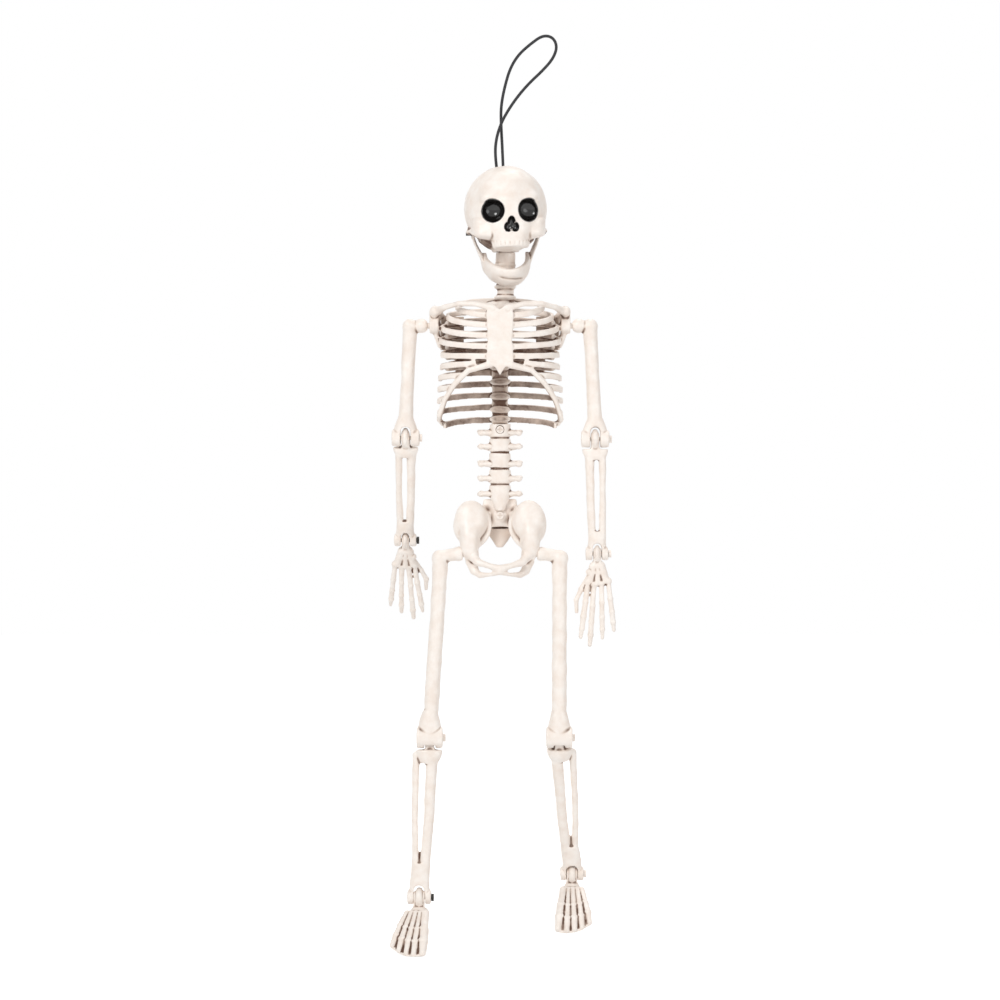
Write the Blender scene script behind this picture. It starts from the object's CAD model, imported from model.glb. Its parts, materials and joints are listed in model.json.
# %% [markdown]
# # A posable hanging skeleton
# The real object is a party decoration about 40 cm tall: bones moulded in ivory
# plastic with a brown stain wiped into their hollows, small black screws at the
# hinges and a loop of black elastic cord at the crown. The measured model is loaded
# first, and every piece made below stands where that model says.

# %% The measured model
import bpy
import bmesh
import json
import math
import numpy as np
from mathutils import Matrix, Vector
from mathutils.bvhtree import BVHTree


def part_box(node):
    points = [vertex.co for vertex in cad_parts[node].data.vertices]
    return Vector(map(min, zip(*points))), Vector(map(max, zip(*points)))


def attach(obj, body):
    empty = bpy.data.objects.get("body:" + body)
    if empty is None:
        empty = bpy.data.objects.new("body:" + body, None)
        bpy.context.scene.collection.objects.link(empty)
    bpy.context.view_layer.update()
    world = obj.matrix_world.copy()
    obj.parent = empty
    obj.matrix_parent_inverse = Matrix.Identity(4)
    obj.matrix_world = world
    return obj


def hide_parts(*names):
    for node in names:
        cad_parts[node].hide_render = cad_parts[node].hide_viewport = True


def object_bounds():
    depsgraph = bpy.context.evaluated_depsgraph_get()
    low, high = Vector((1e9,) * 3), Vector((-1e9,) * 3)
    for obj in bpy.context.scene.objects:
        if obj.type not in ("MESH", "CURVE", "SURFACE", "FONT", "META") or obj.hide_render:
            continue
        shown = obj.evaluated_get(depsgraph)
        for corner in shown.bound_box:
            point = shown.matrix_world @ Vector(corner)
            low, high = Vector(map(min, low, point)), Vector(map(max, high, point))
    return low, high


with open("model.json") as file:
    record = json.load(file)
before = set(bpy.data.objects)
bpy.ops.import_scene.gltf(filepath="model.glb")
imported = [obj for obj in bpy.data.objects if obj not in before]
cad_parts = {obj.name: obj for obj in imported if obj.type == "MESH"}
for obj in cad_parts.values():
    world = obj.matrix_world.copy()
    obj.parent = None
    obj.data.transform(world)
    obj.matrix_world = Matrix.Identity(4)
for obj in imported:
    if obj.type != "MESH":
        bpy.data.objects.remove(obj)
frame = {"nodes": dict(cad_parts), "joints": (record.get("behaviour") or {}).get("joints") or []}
cad_low, cad_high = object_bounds()
print("model box in mm:", [round(v * 1000, 1) for v in cad_high - cad_low])
MM = 0.001
scene = bpy.context.scene
scene.view_settings.view_transform = "Standard"

# %% [markdown]
# ## Camera
# The figure is looked at straight from the front, from 1.3 m away and level with its
# waist. A long lens keeps the bones from bulging towards the viewer, as a wide lens
# close up would make them do.

# %% Camera
CAMERA_DISTANCE = 1.3
VIEW_WIDTH = 0.509          # metres seen across the picture where the figure hangs
camera = bpy.data.objects.new("camera", bpy.data.cameras.new("camera"))
camera.data.sensor_width = 36.0
camera.data.lens = camera.data.sensor_width * CAMERA_DISTANCE / VIEW_WIDTH
camera.location = (0.0, -CAMERA_DISTANCE, -0.170)
camera.rotation_euler = (math.radians(90), 0, 0)
scene.collection.objects.link(camera)
scene.camera = camera
print("lens in mm:", round(camera.data.lens, 1))

# %% [markdown]
# ## Helpers for materials
# Paint colours are easiest to choose as hex values, but shaders work in linear
# light, so one function turns the first into the second. Another adds a node with
# its settings and its links, which keeps each material short.

# %% Helpers for materials
def linear(hex_colour):
    values = [int(hex_colour[i:i + 2], 16) / 255 for i in (0, 2, 4)]
    return tuple(v / 12.92 if v <= 0.04045 else ((v + 0.055) / 1.055) ** 2.4 for v in values) + (1.0,)


def add_node(tree, kind, links=(), sockets=(), **settings):
    """Adds a node; links are (input, output) pairs and sockets (input, value) pairs."""
    made = tree.nodes.new(kind)
    for name, value in settings.items():
        setattr(made, name, value)
    for key, value in sockets:
        made.inputs[key].default_value = value
    for key, source in links:
        tree.links.new(source, made.inputs[key])
    return made


def new_material(name):
    material = bpy.data.materials.new(name)
    material.use_nodes = True
    material.node_tree.nodes.clear()
    return material


def put_out(material, shader):
    add_node(material.node_tree, "ShaderNodeOutputMaterial", [("Surface", shader.outputs[0])])
    return material

# %% [markdown]
# ## Bone plastic
# The bones are PVC, injection moulded in ivory, then stained: a thin brown paint is
# brushed on and wiped off, and it stays where a cloth can't reach. To the eye that
# is a satin cream that turns brown in every groove. The stain could be painted by
# hand, but each bone mesh below carries a number for how hollow its surface is at
# that point, called "stain", and the colour follows that number. A soft noise,
# about 6 mm across, breaks the stain up as wiping does, and a fine one, drawn at
# 0.8 mm so that it shows, gives the moulded grain. The eye and nose hollows are
# filled in with gloss black enamel, almost a mirror. A second stored number, called
# "enamel", says where that is, and turns colour and roughness over to it.

# %% Bone plastic
def stained_pvc(name="moulded_pvc_bone"):
    material = new_material(name)
    tree = material.node_tree
    place = add_node(tree, "ShaderNodeTexCoord")
    stain = add_node(tree, "ShaderNodeAttribute", attribute_name="stain")
    wipe = add_node(tree, "ShaderNodeTexNoise", [("Vector", place.outputs["Object"])],
                    [("Scale", 1 / (6 * MM)), ("Detail", 4.0), ("Roughness", 0.6)])
    uneven = add_node(tree, "ShaderNodeMapRange", [("Value", wipe.outputs["Fac"])],
                      [("From Min", 0.3), ("From Max", 0.7), ("To Min", 0.72), ("To Max", 1.2)])
    amount = add_node(tree, "ShaderNodeMath", [(0, stain.outputs["Fac"]), (1, uneven.outputs[0])],
                      operation="MULTIPLY", use_clamp=True)
    body = add_node(tree, "ShaderNodeValToRGB", [("Fac", wipe.outputs["Fac"])])
    body.color_ramp.elements[0].position, body.color_ramp.elements[1].position = 0.3, 0.7
    body.color_ramp.elements[0].color = linear("F0E3D8")
    body.color_ramp.elements[1].color = linear("FAF3EC")
    tint = add_node(tree, "ShaderNodeValToRGB", [("Fac", amount.outputs[0])])
    tint.color_ramp.elements[0].color = linear("C6A081")
    tint.color_ramp.elements[1].color = linear("573A2A")
    colour = add_node(tree, "ShaderNodeMix", data_type="RGBA")
    tree.links.new(amount.outputs[0], colour.inputs["Factor"])
    tree.links.new(body.outputs["Color"], colour.inputs[6])
    tree.links.new(tint.outputs["Color"], colour.inputs[7])
    dull = add_node(tree, "ShaderNodeMapRange", [("Value", amount.outputs[0])],
                    [("To Min", 0.42), ("To Max", 0.68)])
    enamel = add_node(tree, "ShaderNodeAttribute", attribute_name="enamel")
    painted = add_node(tree, "ShaderNodeMix", [("Factor", enamel.outputs["Fac"]), (6, colour.outputs[2])],
                       [(7, linear("100D0C"))], data_type="RGBA")
    gloss = add_node(tree, "ShaderNodeMix", [("Factor", enamel.outputs["Fac"]), (2, dull.outputs[0])],
                     [(3, 0.15)])
    grain = add_node(tree, "ShaderNodeTexNoise", [("Vector", place.outputs["Object"])],
                     [("Scale", 1 / (0.8 * MM)), ("Detail", 3.0)])
    bump = add_node(tree, "ShaderNodeBump", [("Height", grain.outputs["Fac"])],
                    [("Strength", 0.12), ("Distance", 0.15 * MM)])
    shader = add_node(tree, "ShaderNodeBsdfPrincipled",
                      [("Base Color", painted.outputs[2]), ("Roughness", gloss.outputs[0]),
                       ("Normal", bump.outputs["Normal"])], [("IOR", 1.53)])
    return put_out(material, shader)


bone_plastic = stained_pvc()
print("bone material nodes:", len(bone_plastic.node_tree.nodes))

# %% [markdown]
# ## Screws and cord
# The screws are steel blackened in an oxide bath, which leaves a dark grey metal
# with fine scratches where a driver has turned. Most of them are capped in the bones'
# own plastic; only one wrist and one ankle show theirs. The cord is round elastic: rubber
# inside a braid of polyester yarn. Its yarns are 0.4 mm apart, crossing both ways,
# which two waves across the cord's own length draw well enough at this size.

# %% Screws and cord
def blackened_steel():
    material = new_material("black_oxide_steel")
    tree = material.node_tree
    place = add_node(tree, "ShaderNodeTexCoord")
    wear = add_node(tree, "ShaderNodeTexNoise", [("Vector", place.outputs["Object"])],
                    [("Scale", 1 / (0.7 * MM)), ("Detail", 5.0)])
    tone = add_node(tree, "ShaderNodeValToRGB", [("Fac", wear.outputs["Fac"])])
    tone.color_ramp.elements[0].color = linear("242322")
    tone.color_ramp.elements[1].color = linear("4A4845")
    rough = add_node(tree, "ShaderNodeMapRange", [("Value", wear.outputs["Fac"])],
                     [("To Min", 0.28), ("To Max", 0.5)])
    bump = add_node(tree, "ShaderNodeBump", [("Height", wear.outputs["Fac"])],
                    [("Strength", 0.2), ("Distance", 0.05 * MM)])
    shader = add_node(tree, "ShaderNodeBsdfPrincipled",
                      [("Base Color", tone.outputs["Color"]), ("Roughness", rough.outputs[0]),
                       ("Normal", bump.outputs["Normal"])], [("Metallic", 1.0)])
    return put_out(material, shader)


def braided_elastic():
    material = new_material("braided_polyester_elastic")
    tree = material.node_tree
    place = add_node(tree, "ShaderNodeTexCoord")
    waves = []
    for turn in (35, -35):
        turned = add_node(tree, "ShaderNodeMapping", [("Vector", place.outputs["Object"])],
                          [("Rotation", (0, math.radians(turn), 0))])
        waves.append(add_node(tree, "ShaderNodeTexWave", [("Vector", turned.outputs[0])],
                              [("Scale", 0.314 / (0.4 * MM)), ("Distortion", 0.6)],
                              bands_direction="Z"))
    braid = add_node(tree, "ShaderNodeMath", [(0, waves[0].outputs["Fac"]), (1, waves[1].outputs["Fac"])],
                     operation="MAXIMUM")
    tone = add_node(tree, "ShaderNodeValToRGB", [("Fac", braid.outputs[0])])
    tone.color_ramp.elements[0].color = linear("0B0B0C")
    tone.color_ramp.elements[1].color = linear("26262A")
    bump = add_node(tree, "ShaderNodeBump", [("Height", braid.outputs[0])],
                    [("Strength", 0.5), ("Distance", 0.1 * MM)])
    shader = add_node(tree, "ShaderNodeBsdfPrincipled",
                      [("Base Color", tone.outputs["Color"]), ("Normal", bump.outputs["Normal"])],
                      [("Roughness", 0.72), ("Sheen Weight", 0.15)])
    return put_out(material, shader)


screw_steel = blackened_steel()
cord_elastic = braided_elastic()
for name, cad_node in frame["nodes"].items():
    cad_node.data.materials.clear()
    if name in ("wrist_screw_left", "ankle_screw_left", "jaw_pins"):
        cad_node.data.materials.append(screw_steel)
    elif "cord" in name:
        cad_node.data.materials.append(cord_elastic)
    else:
        cad_node.data.materials.append(bone_plastic)
print("dressed model nodes:", len(frame["nodes"]))

# %% [markdown]
# ## Hanging cord
# A free cord lies in one smooth bend after another, because it can't hold a corner.
# A NURBS curve does the same with few points: each point pulls the line towards
# itself. Both ends go down through holes in the crown to the knot inside.

# %% Hanging cord
CORD_DIAMETER = 1.5
CORD_POINTS = [
    (-1.7, 0, -1.0), (-2.6, -0.5, 6), (-1.9, -1.2, 14), (0.7, -1.7, 22), (4.8, -1.6, 29.2),
    (9.6, -1.2, 36), (15.2, -0.8, 42.4), (21.4, -0.4, 48.2), (26.9, 0, 54.4), (29.2, 0.1, 60.6),
    (27.0, 0.2, 65.6), (21.8, 0.2, 66.6), (15.8, 0.3, 62.4), (9.4, 0.5, 56.8), (5.1, 0.8, 49.8),
    (2.3, 1.3, 40.2), (0.5, 1.7, 30.8), (0.5, 1.6, 21.6), (1.2, 0.8, 9), (1.6, 0, -1.0),
]
cord_line = bpy.data.curves.new("elastic_loop", "CURVE")
cord_line.dimensions = "3D"
spline = cord_line.splines.new("NURBS")
spline.points.add(len(CORD_POINTS) - 1)
for point, place in zip(spline.points, CORD_POINTS):
    point.co = (*(v * MM for v in place), 1.0)
spline.order_u = 3
spline.use_endpoint_u = True
cord_line.resolution_u = 8
cord_line.bevel_depth = CORD_DIAMETER / 2 * MM
cord_line.bevel_resolution = 6
cord_line.use_fill_caps = True
cord_line.materials.append(cord_elastic)
elastic_loop = bpy.data.objects.new("elastic_loop", cord_line)
scene.collection.objects.link(elastic_loop)
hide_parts("hanging_cord")
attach(elastic_loop, "head")

# %% [markdown]
# ## From plain solids to moulded bone
# The measured solids are true in size but look turned on a lathe. A moulded bone has
# soft, swelling forms that run into one another. Sculpting would give that by hand.
# Here a voxel remesh melts a node's shapes, and any detail added to them, into one
# skin of even small faces, a few rounds of smoothing soften the joins, and a slow
# noise takes away the machined straightness.

# %% Melting shapes into one skin
def ball(centre, halves, turn=None, detail=3):
    """A stretched ball in millimetres, as a mesh to melt into a bone."""
    shape = bmesh.new()
    bmesh.ops.create_icosphere(shape, subdivisions=detail, radius=1.0)
    turn = turn.to_4x4() if turn else Matrix.Identity(4)
    place = Matrix.Translation(Vector(centre) * MM) @ turn @ Matrix.Diagonal((*[h * MM for h in halves], 1))
    bmesh.ops.transform(shape, matrix=place, verts=shape.verts)
    return shape


def link(start, end, near, far):
    """A tapered bar between two points in millimetres."""
    start, end = Vector(start), Vector(end)
    along = end - start
    shape = bmesh.new()
    bmesh.ops.create_cone(shape, cap_ends=True, segments=20, radius1=near * MM, radius2=far * MM,
                          depth=along.length * MM)
    turn = along.to_track_quat("Z", "Y").to_matrix().to_4x4()
    bmesh.ops.transform(shape, matrix=Matrix.Translation((start + end) / 2 * MM) @ turn, verts=shape.verts)
    return shape


def read_points(mesh):
    points = np.empty(len(mesh.vertices) * 3)
    mesh.vertices.foreach_get("co", points)
    return points.reshape(-1, 3)


def read_edges(mesh):
    edges = np.empty(len(mesh.edges) * 2, int)
    mesh.edges.foreach_get("vertices", edges)
    return edges.reshape(-1, 2)


def smoothed(points, edges, rounds, share=0.5):
    """Each round moves every point part of the way to the middle of its neighbours."""
    first, second = edges[:, 0], edges[:, 1]
    count = np.bincount(edges.ravel(), minlength=len(points))[:, None]
    for _ in range(rounds):
        total = np.empty_like(points)
        for axis in range(3):
            total[:, axis] = (np.bincount(first, points[second, axis], len(points)) +
                              np.bincount(second, points[first, axis], len(points)))
        points = points + (total / np.maximum(count, 1) - points) * share
    return points


def slow_noise(points, width, seed):
    """A smooth random value for each point, from a few crossed waves that wide."""
    rng = np.random.default_rng(seed)
    value = np.zeros(len(points))
    for _ in range(9):
        way = rng.normal(size=3)
        way *= 2 * math.pi / (width * MM * np.linalg.norm(way)) * rng.uniform(0.7, 1.4)
        value += np.sin(points @ way + rng.uniform(0, 6.28))
    return value / 3.0

# %% [markdown]
# ## Where the stain stays
# A rag wipes the stain off everything it can touch. A point is out of its reach
# where the skin, if it were smoothed a lot, would end up above that point. So the
# stain number is how far the smoothed skin lies outside the real one, once for fine
# grooves and once for wide hollows. Lit ambient occlusion could show the same, but a
# stored number looks the same under any light.

# %% Measuring the hollows
def normals_of(mesh):
    normals = np.empty(len(mesh.vertices) * 3)
    mesh.vertex_normals.foreach_get("vector", normals)
    return normals.reshape(-1, 3)


def stain_of(mesh, fine=14.0, wide=2.2):
    points, edges, normals = read_points(mesh), read_edges(mesh), normals_of(mesh)
    near = smoothed(points, edges, 6)
    far = smoothed(near, edges, 45)
    grooves = np.einsum("ij,ij->i", near - points, normals) / MM
    hollows = np.einsum("ij,ij->i", far - points, normals) / MM
    return np.clip(grooves * fine - 0.10, 0, 0.8) + np.clip(hollows * wide - 0.06, 0, 0.8)


def set_stain(mesh, amount):
    layer = mesh.attributes.get("stain") or mesh.attributes.new("stain", "FLOAT", "POINT")
    layer.data.foreach_set("value", np.clip(amount, 0, 1).astype(np.float32))


def melted(name, nodes, body, extra=(), voxel=0.45, rounds=4, wobble=0.10, seed=1, soft=None, swell=0):
    """One skin over the solids of some nodes and the added shapes; soft gives, for
    each point, how much of a far heavier smoothing it gets, and swell fattens all."""
    joined = bmesh.new()
    for node in nodes:
        joined.from_mesh(frame["nodes"][node].data)
    for shape in extra:
        held = bpy.data.meshes.new("held")
        shape.to_mesh(held)
        joined.from_mesh(held)
        shape.free()
        bpy.data.meshes.remove(held)
    mesh = bpy.data.meshes.new(name)
    joined.to_mesh(mesh)
    joined.free()
    piece = bpy.data.objects.new(name, mesh)
    scene.collection.objects.link(piece)
    remesh = piece.modifiers.new("melt", "REMESH")
    remesh.mode = "VOXEL"
    remesh.voxel_size = voxel * MM
    if swell:
        fatten = piece.modifiers.new("swell", "DISPLACE")
        fatten.mid_level = 0.0
        fatten.strength = swell * MM
        again = piece.modifiers.new("melt_again", "REMESH")
        again.mode = "VOXEL"
        again.voxel_size = voxel * MM
    shown = piece.evaluated_get(bpy.context.evaluated_depsgraph_get())
    skin = bpy.data.meshes.new_from_object(shown)
    piece.modifiers.clear()
    piece.data = skin
    points, edges = read_points(skin), read_edges(skin)
    low, high = np.maximum(points.min(0), cad_low), np.minimum(points.max(0), cad_high)
    points = smoothed(points, edges, rounds)
    if soft:
        share = soft(points)[:, None]
        points = points * (1 - share) + smoothed(points, edges, 110) * share
    skin.vertices.foreach_set("co", points.ravel())
    skin.update()
    normals = normals_of(skin)
    points = points + normals * (slow_noise(points, 9.0, seed)[:, None] * wobble - wobble) * MM
    skin.vertices.foreach_set("co", np.clip(points, low, high).ravel())
    skin.update()
    skin.polygons.foreach_set("use_smooth", [True] * len(skin.polygons))
    skin.materials.clear()
    skin.materials.append(bone_plastic)
    set_stain(skin, stain_of(skin))
    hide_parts(*nodes)
    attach(piece, body)
    print(name, "faces", len(skin.polygons))
    return piece

# %% [markdown]
# ## Knuckles, wrist bones and soles
# Inside every fork sits a rounded tongue that nearly fills it, so that only a thin
# dark arch shows round it. A ball about the hinge's own axis can swing without
# ever meeting the fork, if it is smaller than the room there. That room is found by
# sending rays out from the pivot to the fork's inside. The wrist shows small pebble
# bones, and the toes are joined by a thin sole under them, which is the hull of the
# toes pressed flat and moved down.

# %% Knuckles, wrist bones and soles
pivots = {joint["name"]: Vector(joint["pos_m"]) for joint in frame["joints"]}


def room_round(pivot, fork):
    """How far, in millimetres, the fork is from the pivot, round the axis and along it."""
    solid = frame["nodes"][fork].data
    tree = BVHTree.FromPolygons([point.co for point in solid.vertices],
                                [tuple(face.vertices) for face in solid.polygons])
    round_axis, along_axis = [9.0], [4.0]
    for step in range(36):
        turn = math.radians(10 * step)
        hit = tree.ray_cast(pivot, Vector((0, math.cos(turn), math.sin(turn))), 0.02)
        if hit[0]:
            round_axis.append(hit[3] / MM)
    for way in (-1, 1):
        for lift in (-2.6, 2.6):
            hit = tree.ray_cast(pivot + Vector((0, lift * MM, 0)), Vector((way, 0, 0)), 0.02)
            if hit[0]:
                along_axis.append(hit[3] / MM)
    return min(round_axis), min(along_axis)


def knuckle(joint, fork, swell):
    reach, half = room_round(pivots[joint], fork)
    if reach >= 9.0:
        reach = 3.2
    print(joint, "room in mm:", round(reach, 2), round(half, 2))
    reach, half = reach - 0.6 - swell, half - 0.35 - swell
    middle, shoulder = pivots[joint] / MM, Vector((half * 0.62, 0, 0))
    width = reach - half * 0.2
    return [ball(middle, (half, reach, reach)),
            link(middle - shoulder, middle + shoulder, width, width)]


def wrist_bones(node, pivot):
    """Two rows of pebbles between the hinge and the fingers."""
    pivot = pivot / MM
    points = read_points(frame["nodes"][node].data) / MM
    along = (Vector(points.mean(0)) - pivot).normalized()
    across = (Vector((1, 0, 0)) - along * along.x).normalized()
    front = Vector((0, -1, 0)) - along * -along.y
    pebbles = []
    for away, offsets, radius in ((6.6, (-2.5, 0, 2.5), 1.65), (9.4, (-3.9, -1.4, 1.4, 3.9), 1.55)):
        for offset in offsets:
            pebbles.append(ball(pivot + along * away + across * offset + front * 0.9, (radius,) * 3))
    return pebbles


def sole(node, pivot):
    points = read_points(frame["nodes"][node].data) / MM
    reach = np.linalg.norm(points - np.array(pivot / MM), axis=1)
    toes = points[reach > 0.42 * reach.max()]
    middle = toes.mean(0)
    thin = np.linalg.svd(toes - middle, full_matrices=False)[2][2]
    thin = thin * np.sign(thin @ np.array([0, -0.5, 0.85]))
    height = (toes - middle) @ thin
    flat = toes - np.outer(height * 0.6 + 0.9, thin)
    shape = bmesh.new()
    for point in flat[::3]:
        shape.verts.new(point * MM)
    bmesh.ops.convex_hull(shape, input=shape.verts)
    bmesh.ops.delete(shape, geom=[point for point in shape.verts if not point.link_faces], context="VERTS")
    return shape

# %% [markdown]
# ## Limbs
# Each limb bone is one moulding: knobs at its ends, a slimmer shaft and a fork or a
# tongue for its hinge. The smoothing is kept to a few rounds, so that the forks stay
# crisp enough to read as hinges.

# %% Limbs
LIMBS = {"humerus": "upper_arm", "forearm": "forearm", "hand": "hand",
         "femur": "thigh", "shin": "shin", "foot": "foot"}
TONGUES = {"forearm": ("elbow", "humerus"), "hand": ("wrist", "forearm"),
           "shin": ("knee", "femur"), "foot": ("ankle", "shin")}
SWELL = {"hand": 0.22, "foot": 0.5}
limbs = {}
for number, (bone, body) in enumerate(LIMBS.items()):
    for side in ("left", "right"):
        fine = bone in ("hand", "foot")
        added = []
        if bone in TONGUES:
            joint, fork = TONGUES[bone]
            added += knuckle(joint + "_" + side, fork + "_" + side, SWELL.get(bone, 0))
        if bone == "hand":
            added += wrist_bones("hand_" + side, pivots["wrist_" + side])
        if bone == "foot":
            added.append(sole("foot_" + side, pivots["ankle_" + side]))
        limbs[bone, side] = melted(bone + "_" + side + "_bone", [bone + "_" + side], body + "_" + side,
                                   extra=added, voxel=0.34 if fine else 0.42, rounds=3 if fine else 9,
                                   seed=number + 3, swell=SWELL.get(bone, 0))

# %% [markdown]
# ## Trunk
# The rib cage is moulded in a front and a rear half that are glued together, so one
# skin covers both. The stain is heavy on the insides of the ribs, which no rag
# reaches: there a point's skin faces the middle of the chest.

# %% Trunk
def rear_rib(height, width, depth, radius=1.6):
    """A rib from the spine round to each side, falling a little as it goes."""
    bars = []
    for side in (-1, 1):
        stops = []
        for degrees in (10, 32, 54, 76):
            turn = math.radians(degrees)
            stops.append((side * width * math.sin(turn), depth * math.cos(turn), height - degrees * 0.035))
        bars += [link(a, b, radius, radius) for a, b in zip(stops, stops[1:])]
        bars += [ball(stop, (radius, radius, radius)) for stop in stops]
    return bars


cage_detail = []
for height in (-77.0, -83.6, -89.2, -94.6, -100.2):
    cage_detail += rear_rib(height, 27.5, 12.6)
for height in (-50.0, -55.5, -61.0, -66.5):
    cage_detail.append(ball((2.6, 6.8, height), (5.9, 5.3, 1.7)))
cage_detail.append(ball((1.4, 8.6, -69.8), (9.4, 3.4, 2.0)))
for height in (-102.0, -109.4, -117.1, -123.7, -128.6):
    cage_detail.append(ball((0, 8.0, height), (5.6, 4.6, 2.1)))
rib_cage = melted("rib_cage_bone", ["rib_cage_front", "rib_cage_back", "neck_column"], "torso", extra=cage_detail,
                  voxel=0.42, seed=21)
lumbar_low, lumbar_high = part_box("lumbar_spine")
vertebrae = [ball((0, (lumbar_low.y / MM + 4.4), z), (11.4, 3.0, 2.0))
             for z in (-135.6, -142.6, -151.6, -159.0, -166.8)]
vertebrae += [ball((side * 9.6, (lumbar_low.y / MM + 4.4), z), (2.0, 1.9, 1.8))
              for z in (-135.6, -142.6, -151.6, -159.0, -166.8) for side in (-1, 1)]
lumbar = melted("lumbar_bone", ["lumbar_spine"], "torso", extra=vertebrae, voxel=0.34, rounds=3, seed=22)
wings = []
for side in (-1, 1):
    wings.append(ball((side * 14.9, 3.2, -180.0), (8.8, 5.0, 10.8)))
    wings.append(ball((side * 15.6, 1.0, -190.0), (5.4, 5.4, 11.0)))


def wings_only(points):
    return 0.9 * np.clip((points[:, 2] / MM + 198) / 6, 0, 1)


pelvis = melted("pelvis_bone", ["pelvis"], "torso", extra=wings, voxel=0.42, rounds=16, seed=23,
                soft=wings_only)
sacrum = melted("sacrum_bone", ["sacrum"], "torso", voxel=0.34, rounds=3, seed=24)
sacrum_low, sacrum_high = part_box("sacrum")
lowness = (sacrum_high.z - read_points(sacrum.data)[:, 2]) / (sacrum_high.z - sacrum_low.z)
set_stain(sacrum.data, stain_of(sacrum.data) + 0.62 - 0.42 * lowness)

skin = rib_cage.data
points, normals = read_points(skin), normals_of(skin)
chest_low, chest_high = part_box("rib_cage_front")
middle = np.array([0.0, (chest_low.y + chest_high.y) / 2 + 6 * MM, 0.0])
outward = points - middle
outward[:, 2] = 0
outward /= np.maximum(np.linalg.norm(outward, axis=1), 1e-6)[:, None]
facing_in = -np.einsum("ij,ij->i", outward, normals)
in_chest = np.clip((-74 * MM - points[:, 2]) / (4 * MM), 0, 1)
set_stain(skin, stain_of(skin) + np.clip(facing_in * 1.2 - 0.05, 0, 0.8) * in_chest)

# %% [markdown]
# ## Skull
# The skull looks a little to one side and leans. It is easiest to build upright and
# then turn, so one function takes a place on the upright head to the turned one.
# Upper teeth are small balls stretched tall and set round the arc of the jaw bone,
# half sunk in it, as a mould for one piece would have them.

# %% Skull
NECK_AXIS = (2.8, 7.0)
HEAD_HEIGHT = 44.0
HEAD_TURN = Matrix.Rotation(math.radians(-2.2), 3, "Y") @ Matrix.Rotation(math.radians(7.0), 3, "Z")


def on_head(x, y, z):
    pivot = Vector((NECK_AXIS[0], NECK_AXIS[1], -HEAD_HEIGHT))
    return pivot + HEAD_TURN @ Vector((x, y - NECK_AXIS[1], z + HEAD_HEIGHT))


teeth = []
for number in range(-5, 6):
    angle = math.radians(number * 14.5)
    spot = on_head(9.2 * math.sin(angle), -14.3 - 7.7 * math.cos(angle), -40.9)
    width = 1.25 if abs(number) < 2 else 1.1
    teeth.append(ball(spot, (width, 0.95, 2.5), HEAD_TURN @ Matrix.Rotation(angle, 3, "Z")))
def upright_of(points):
    """The places on the upright head, in millimetres, of points on the turned one."""
    pivot = np.array([NECK_AXIS[0], NECK_AXIS[1], -HEAD_HEIGHT])
    return (points / MM - pivot) @ np.array(HEAD_TURN) + np.array([0, NECK_AXIS[1], -HEAD_HEIGHT])


def ease(value, start, end):
    share = np.clip((value - start) / (end - start), 0, 1)
    return share * share * (3 - 2 * share)


def brow_and_cheek(points):
    x, y, z = upright_of(points).T
    front = ease(-y, 2, 8)
    brow = ease(z, -18.5, -16.5)
    temple = ease(np.abs(x), 15.2, 16.4) * ease(z, -26, -23)
    cheek = ease(np.abs(x), 8.5, 11.0) * ease(-z, 26.5, 29.0) * ease(z, -40.5, -38.0)
    return front * np.maximum(np.maximum(brow, temple), cheek)


cheeks = [ball(on_head(side * 14.0, -10.5, -28.8), (5.2, 8.0, 5.2), HEAD_TURN) for side in (-1, 1)]
skull = melted("skull_bone", ["skull_front", "skull_back"], "head", extra=teeth + cheeks, voxel=0.42, seed=31,
               soft=brow_and_cheek)
skin = skull.data
points = read_points(skin)
upright = upright_of(points)
enamel = np.zeros(len(upright))
for centre, halves in (((9.6, -21.6, -22.3), (6.0, 6.0, 5.6)), ((-9.6, -21.6, -22.3), (6.0, 6.0, 5.6)),
                       ((1.8, -23.2, -30.8), (1.9, 3.8, 2.5)), ((-1.8, -23.2, -30.8), (1.9, 3.8, 2.5)),
                       ((0, -23.2, -28.9), (2.0, 3.8, 3.4)),
                       ((0, -23.2, -30.2), (2.8, 3.8, 1.6))):
    apart = np.linalg.norm((upright - np.array(centre)) / np.array(halves), axis=1)
    enamel = np.maximum(enamel, np.clip((1.13 - apart) / 0.06, 0, 1))
layer = skin.attributes.new("enamel", "FLOAT", "POINT")
layer.data.foreach_set("value", enamel.astype(np.float32))
print("enamelled points:", int((enamel > 0.5).sum()))

normals = normals_of(skin)
x, y, z = upright.T
under_cheek = ease(-normals[:, 2], 0.1, 0.7) * ease(np.abs(x), 7.5, 10) * ease(-z, 31, 34) * ease(y, -17, -12)
recess = ease(-z, 33, 35) * ease(y, -14, -9) * ease(np.abs(x), 5, 9)
wiped = 1 - 0.9 * ease(-y, 2, 8) * ease(z, -35, -31) * ease(-normals[:, 1], -0.3, 0.2)
set_stain(skin, (stain_of(skin) * wiped + 0.8 * under_cheek + 0.55 * recess) * (1 - enamel))

# %% [markdown]
# The face sits low on the skull, which makes it look young. The eye and nose hollows
# are eased down together by a smooth shift that fades out at the brow and the teeth.

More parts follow.
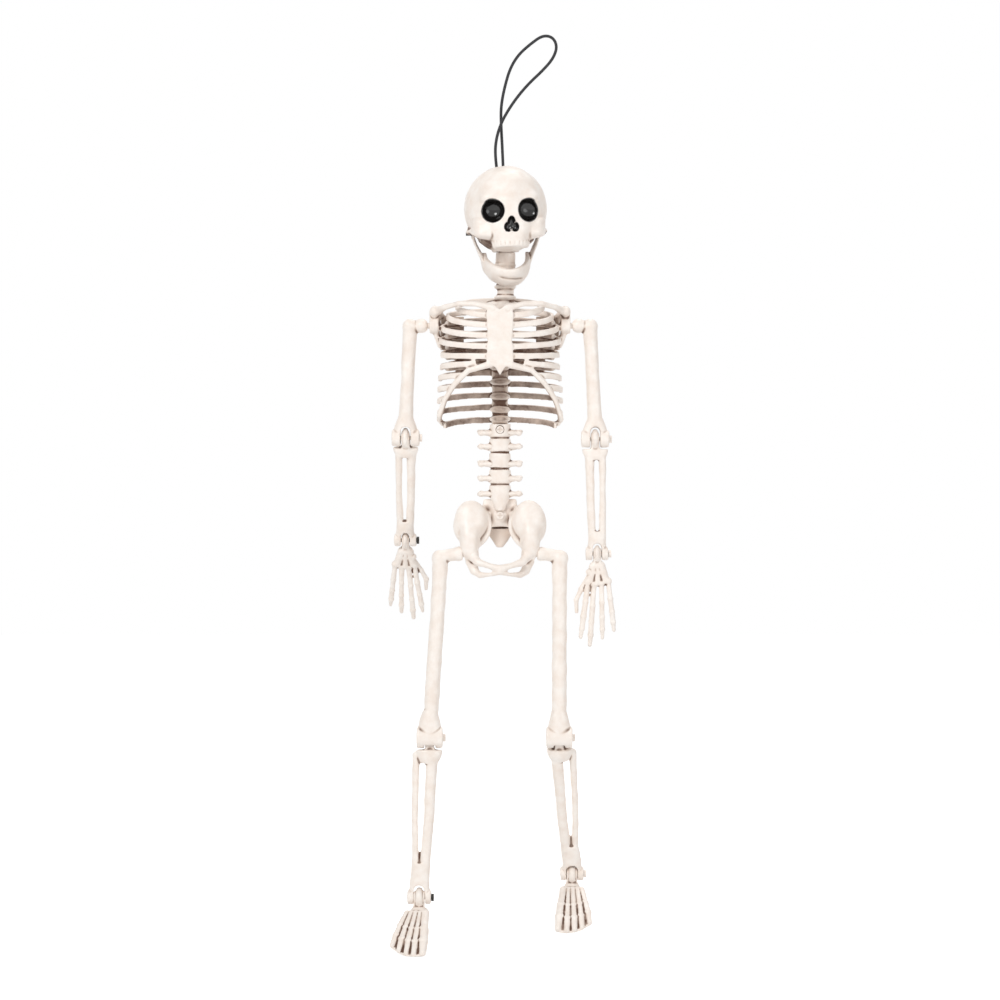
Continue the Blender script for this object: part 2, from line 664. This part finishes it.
# %% Lowering the face
FACE_DROP = 2.7
fall = ease(-z, 8, 17) * ease(z, -42.5, -31.5) * ease(-y, 4, 15)
points[:, 2] -= fall * FACE_DROP * MM
skin.vertices.foreach_set("co", points.ravel())
skin.update()
jaw = melted("jaw_bone", ["mandible"], "jaw", voxel=0.34, rounds=3, seed=32)
skin = jaw.data
points, normals = read_points(skin), normals_of(skin)
x, z = points[:, 0] / MM - 6.2, points[:, 2] / MM
crease = np.exp(-((z + 58.4 - 0.028 * x * x) / 0.7) ** 2) * ease(-normals[:, 1], 0.1, 0.5)
crease *= ease(8.5 - np.abs(x), 0, 4)
skin.vertices.foreach_set("co", (points - normals * crease[:, None] * 0.45 * MM).ravel())
skin.update()
set_stain(skin, stain_of(skin) * 0.7 + 0.3 * crease)
print("teeth:", len(teeth))

# %% [markdown]
# ## Floor, backdrop and light
# The white surroundings are a plain floor and world that only the camera and
# reflections see as white, so that they throw no extra light on the figure. The
# floor keeps the soft shadow under the feet. Three wide lamps light the bones.

# %% Floor, backdrop and light
def white_studio():
    material = new_material("matt_white_paper")
    tree = material.node_tree
    path = add_node(tree, "ShaderNodeLightPath")
    seen = add_node(tree, "ShaderNodeMath", [(0, path.outputs["Is Camera Ray"]),
                                             (1, path.outputs["Is Glossy Ray"])], operation="MAXIMUM")
    seen = add_node(tree, "ShaderNodeMath", [(0, seen.outputs[0]),
                                             (1, path.outputs["Is Transmission Ray"])], operation="MAXIMUM")
    glow = add_node(tree, "ShaderNodeEmission", [], [("Color", (1, 1, 1, 1)), ("Strength", 0.62)])
    paper = add_node(tree, "ShaderNodeBsdfDiffuse", [], [("Color", linear("F4F4F4"))])
    both = add_node(tree, "ShaderNodeAddShader")
    tree.links.new(glow.outputs[0], both.inputs[0])
    tree.links.new(paper.outputs[0], both.inputs[1])
    mixed = add_node(tree, "ShaderNodeMixShader", [("Fac", seen.outputs[0])])
    tree.links.new(paper.outputs[0], mixed.inputs[1])
    tree.links.new(both.outputs[0], mixed.inputs[2])
    return put_out(material, mixed)


floor_mesh = bpy.data.meshes.new("floor")
floor_shape = bmesh.new()
bmesh.ops.create_grid(floor_shape, x_segments=2, y_segments=2, size=3.0)
floor_shape.to_mesh(floor_mesh)
floor_shape.free()
floor = bpy.data.objects.new("floor", floor_mesh)
floor.location = (0, 0, cad_low.z - 0.5 * MM)
floor_mesh.materials.append(white_studio())
scene.collection.objects.link(floor)

world = bpy.data.worlds.new("studio")
scene.world = world
world.use_nodes = True
world.node_tree.nodes.clear()
path = add_node(world.node_tree, "ShaderNodeLightPath")
seen = add_node(world.node_tree, "ShaderNodeMath", [(0, path.outputs["Is Camera Ray"]),
                                                    (1, path.outputs["Is Glossy Ray"])],
                operation="MAXIMUM")
seen = add_node(world.node_tree, "ShaderNodeMath", [(0, seen.outputs[0]),
                                                    (1, path.outputs["Is Transmission Ray"])],
                operation="MAXIMUM")
strength = add_node(world.node_tree, "ShaderNodeMapRange", [("Value", seen.outputs[0])],
                    [("To Min", 0.42), ("To Max", 1.0)])
sky = add_node(world.node_tree, "ShaderNodeBackground", [("Strength", strength.outputs[0])],
               [("Color", (1, 1, 1, 1))])
add_node(world.node_tree, "ShaderNodeOutputWorld", [("Surface", sky.outputs[0])])


def lamp(name, place, size, power):
    light = bpy.data.lights.new(name, "AREA")
    light.shape = "DISK"
    light.size = size
    light.energy = power
    holder = bpy.data.objects.new(name, light)
    holder.location = place
    aim = Vector((0, 0, -0.17)) - Vector(place)
    holder.rotation_euler = aim.to_track_quat("-Z", "Y").to_euler()
    scene.collection.objects.link(holder)


lamp("key", (-0.9, -1.3, 0.8), 0.7, 15.0)
lamp("fill", (1.1, -1.2, 0.1), 1.0, 6.0)
lamp("top", (0.2, 0.5, 1.2), 0.8, 6.0)
